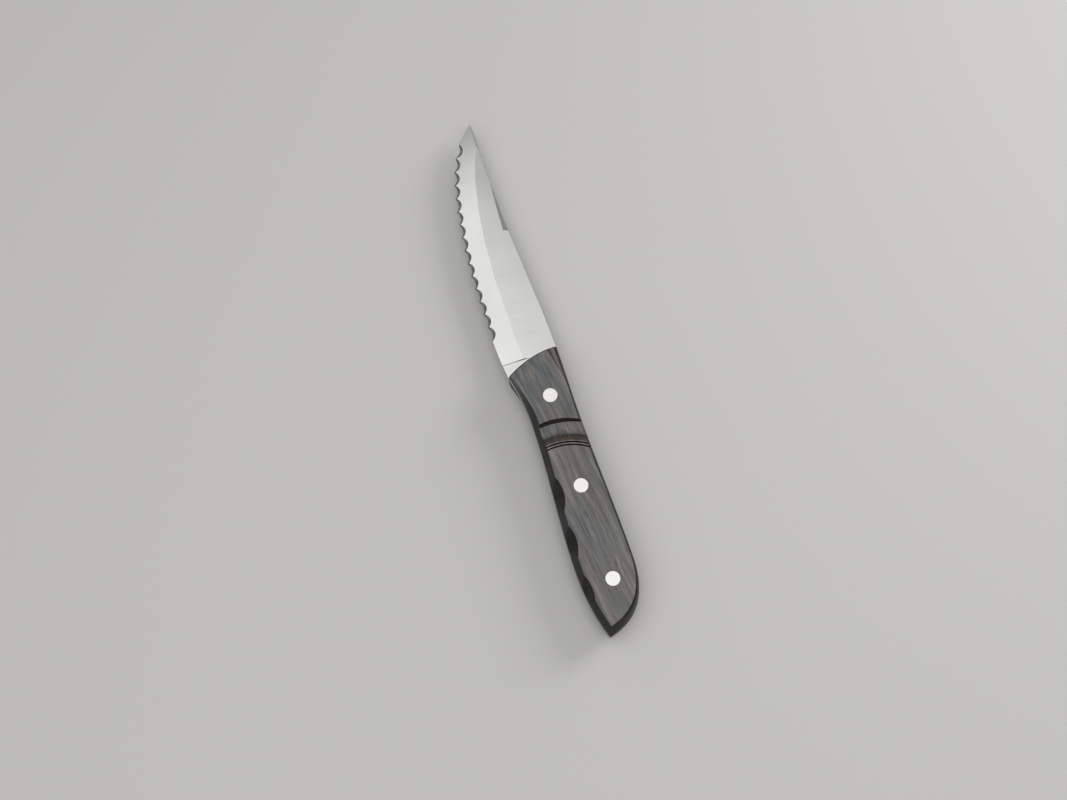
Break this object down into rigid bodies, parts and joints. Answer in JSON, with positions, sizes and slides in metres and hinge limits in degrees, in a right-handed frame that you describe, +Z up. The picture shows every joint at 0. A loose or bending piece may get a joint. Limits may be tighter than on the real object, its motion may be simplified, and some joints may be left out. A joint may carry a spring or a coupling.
{
  "type": "steak knife",
  "caption": "Full-tang steak knife with a scalloped, hollow-ground blade and two carved hardwood scales held by flush rivets, lying on its right side.",
  "frame": {"origin": "bottom centre of the bounding box: on the table, under the middle of the knife's length and width", "axes": "+X along the knife from the point to the butt, +Y across it towards the back of the blade, +Z up from the table, out of the left face"},
  "size_m": [0.25, 0.028, 0.017],
  "materials": {
    "steel": "satin-ground stainless steel",
    "wood": "dark stained hardwood, low sheen, open pores",
    "rivet": "bright ground metal"
  },
  "bodies": {
    "root": {"blade": "steel", "left_scale": "wood", "right_scale": "wood", "front_rivet_stud": "rivet", "front_rivet_barrel": "rivet", "middle_rivet_stud": "rivet", "middle_rivet_barrel": "rivet", "rear_rivet_stud": "rivet", "rear_rivet_barrel": "rivet"}
  },
  "joints": []
}
